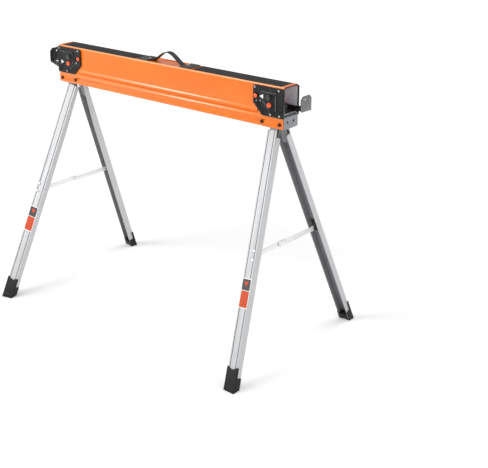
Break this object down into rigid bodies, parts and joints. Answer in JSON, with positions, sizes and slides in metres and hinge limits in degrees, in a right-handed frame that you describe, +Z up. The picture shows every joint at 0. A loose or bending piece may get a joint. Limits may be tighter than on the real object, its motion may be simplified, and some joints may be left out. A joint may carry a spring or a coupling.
{
  "type": "folding sawhorse",
  "caption": "Folding metal sawhorse: box beam with padded top, carry strap and end stock brackets, on splayed channel legs that fold up inside the beam on slanted hinge pins.",
  "frame": {"origin": "on the floor, under the centre of the beam", "axes": "+X along the beam to the right end, +Y across the beam to the rear, +Z up"},
  "size_m": [1.064, 0.6488, 0.8904],
  "materials": {
    "beam_orange": "satin powder coat",
    "button_orange": "gloss",
    "pad_black": "matt",
    "bracket_grey": "satin grey",
    "pin_steel": "turned",
    "hinge_zinc": "zinc plated",
    "screw_steel": "zinc plated",
    "knob_black": "matt",
    "cover_black": "fine texture",
    "bolt_black": "black oxide",
    "strap_rubber": "matt",
    "anchor_black": "satin black",
    "rivet_steel": "plain",
    "hook_black": "satin black",
    "leg_galvanised": "bright galvanised",
    "foot_rubber": "matt",
    "tab_black": "satin black",
    "brace_galvanised": "bright galvanised"
  },
  "bodies": {
    "beam": {"beam_shell": "beam_orange", "top_pad_right": "pad_black", "top_pad_left": "pad_black", "end_bracket_right": "bracket_grey", "end_bracket_left": "bracket_grey", "bracket_guide_right": "hook_black", "bracket_guide_left": "hook_black", "hinge_pins_right": "pin_steel", "hinge_pins_left": "pin_steel", "cover_front_right": "cover_black", "cover_front_left": "cover_black", "cover_rear_right": "cover_black", "cover_rear_left": "cover_black", "cover_screws": "screw_steel", "frame_bolts": "bolt_black", "cover_knobs": "knob_black", "handle_strap": "strap_rubber", "handle_anchors": "anchor_black", "handle_rivets": "rivet_steel"},
    "leg_front_right": {"leg_front_right": "leg_galvanised", "hinge_arm_front_right": "hinge_zinc", "foot_front_right": "foot_rubber", "brace_tab_front_right": "tab_black", "leg_rivets_front_right": "rivet_steel"},
    "brace_front_right": {"brace_bar_front_right": "brace_galvanised"},
    "leg_rear_right": {"leg_rear_right": "leg_galvanised", "hinge_arm_rear_right": "hinge_zinc", "foot_rear_right": "foot_rubber", "brace_tab_rear_right": "tab_black", "leg_rivets_rear_right": "rivet_steel"},
    "brace_rear_right": {"brace_bar_rear_right": "brace_galvanised"},
    "stock_bracket_right": {"stock_bracket_right": "hook_black"},
    "button_front_right": {"button_front_right": "button_orange"},
    "button_rear_right": {"button_rear_right": "button_orange"},
    "leg_front_left": {"leg_front_left": "leg_galvanised", "hinge_arm_front_left": "hinge_zinc", "foot_front_left": "foot_rubber", "brace_tab_front_left": "tab_black", "leg_rivets_front_left": "rivet_steel"},
    "brace_front_left": {"brace_bar_front_left": "brace_galvanised"},
    "leg_rear_left": {"leg_rear_left": "leg_galvanised", "hinge_arm_rear_left": "hinge_zinc", "foot_rear_left": "foot_rubber", "brace_tab_rear_left": "tab_black", "leg_rivets_rear_left": "rivet_steel"},
    "brace_rear_left": {"brace_bar_rear_left": "brace_galvanised"},
    "stock_bracket_left": {"stock_bracket_left": "hook_black"},
    "button_front_left": {"button_front_left": "button_orange"},
    "button_rear_left": {"button_rear_left": "button_orange"}
  },
  "joints": [
    {"name": "leg_fold_front_right", "type": "hinge", "parent": "beam", "child": "leg_front_right", "pos_m": [0.45417, 0, 0.72979], "axis": [0.1975, 0.968, -0.1549], "range_deg": [0, 97.86]},
    {"name": "brace_fold_front_right", "type": "hinge", "parent": "leg_front_right", "child": "brace_front_right", "pos_m": [0.47035, -0.15375, 0.3665], "axis": [0.995, 0, 0.0995], "range_deg": [0, 68.26]},
    {"name": "leg_fold_rear_right", "type": "hinge", "parent": "beam", "child": "leg_rear_right", "pos_m": [0.45417, 0, 0.72979], "axis": [-0.1975, 0.968, 0.1549], "range_deg": [0, 97.86]},
    {"name": "brace_fold_rear_right", "type": "hinge", "parent": "leg_rear_right", "child": "brace_rear_right", "pos_m": [0.47035, 0.15375, 0.3665], "axis": [-0.995, 0, -0.0995], "range_deg": [0, 68.26]},
    {"name": "bracket_slide_right", "type": "slide", "parent": "beam", "child": "stock_bracket_right", "axis": [-1, 0, 0], "range_m": [0, 0.046]},
    {"name": "button_press_front_right", "type": "slide", "parent": "beam", "child": "button_front_right", "axis": [0, 1, 0], "range_m": [0, 0.0035], "stiffness_N_per_m": 600, "springref_m": -0.001},
    {"name": "button_press_rear_right", "type": "slide", "parent": "beam", "child": "button_rear_right", "axis": [0, -1, 0], "range_m": [0, 0.0035], "stiffness_N_per_m": 600, "springref_m": -0.001},
    {"name": "leg_fold_front_left", "type": "hinge", "parent": "beam", "child": "leg_front_left", "pos_m": [-0.46833, 0, 0.74994], "axis": [0.2602, -0.9625, 0.077], "range_deg": [0, 100.2]},
    {"name": "brace_fold_front_left", "type": "hinge", "parent": "leg_front_left", "child": "brace_front_left", "pos_m": [-0.46834, -0.15975, 0.3665], "axis": [0.9945, 0, -0.1049], "range_deg": [0, 68.27]},
    {"name": "leg_fold_rear_left", "type": "hinge", "parent": "beam", "child": "leg_rear_left", "pos_m": [-0.46833, 0, 0.74994], "axis": [-0.2602, -0.9625, -0.077], "range_deg": [0, 100.2]},
    {"name": "brace_fold_rear_left", "type": "hinge", "parent": "leg_rear_left", "child": "brace_rear_left", "pos_m": [-0.46834, 0.15975, 0.3665], "axis": [-0.9945, 0, 0.1049], "range_deg": [0, 68.27]},
    {"name": "bracket_slide_left", "type": "slide", "parent": "beam", "child": "stock_bracket_left", "axis": [1, 0, 0], "range_m": [0, 0.046]},
    {"name": "button_press_front_left", "type": "slide", "parent": "beam", "child": "button_front_left", "axis": [0, 1, 0], "range_m": [0, 0.0035], "stiffness_N_per_m": 600, "springref_m": -0.001},
    {"name": "button_press_rear_left", "type": "slide", "parent": "beam", "child": "button_rear_left", "axis": [0, -1, 0], "range_m": [0, 0.0035], "stiffness_N_per_m": 600, "springref_m": -0.001}
  ],
  "couplings": [
    {"joint": "brace_fold_front_right", "follows": "leg_fold_front_right", "ratio": 0.69728},
    {"joint": "leg_fold_rear_right", "follows": "leg_fold_front_right", "ratio": 1},
    {"joint": "brace_fold_rear_right", "follows": "leg_fold_front_right", "ratio": 0.69728},
    {"joint": "brace_fold_front_left", "follows": "leg_fold_front_left", "ratio": 0.68109},
    {"joint": "leg_fold_rear_left", "follows": "leg_fold_front_left", "ratio": 1},
    {"joint": "brace_fold_rear_left", "follows": "leg_fold_front_left", "ratio": 0.68109}
  ]
}
